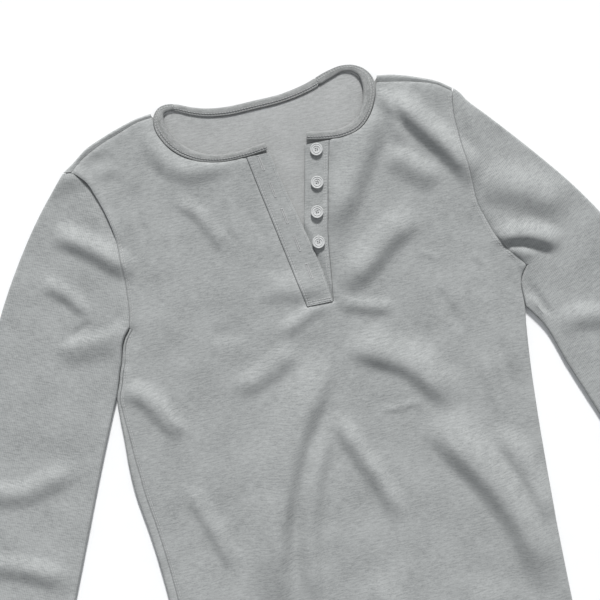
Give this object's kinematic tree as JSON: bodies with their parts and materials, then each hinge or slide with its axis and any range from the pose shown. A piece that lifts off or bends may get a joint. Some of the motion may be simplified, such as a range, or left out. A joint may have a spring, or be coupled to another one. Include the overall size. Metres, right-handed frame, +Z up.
{
  "type": "henley sweater",
  "caption": "Knitted henley top with long set-in sleeves, a folded neck band and an open button placket, laid flat in soft folds.",
  "frame": {"origin": "on the flat underside of the back panel, 300 mm below the middle of the neck", "axes": "+Z up from the table towards the viewer, +X across the garment to the viewer's right, +Y along it towards the neck"},
  "size_m": [0.81, 0.615, 0.0148],
  "materials": {
    "knit": "fine grey melange jersey, matt",
    "knit_inside": "the same jersey from its smoother inner side",
    "binding": "folded jersey band with twin stitching",
    "button": "satin, with raised rings"
  },
  "bodies": {
    "root": {"front": "knit", "back": "knit_inside", "sleeve_left": "knit", "sleeve_right": "knit", "neck_binding": "binding", "placket_buttonhole": "knit", "placket_button": "knit", "button_1": "button", "button_2": "button", "button_3": "button", "button_4": "button"}
  },
  "joints": []
}
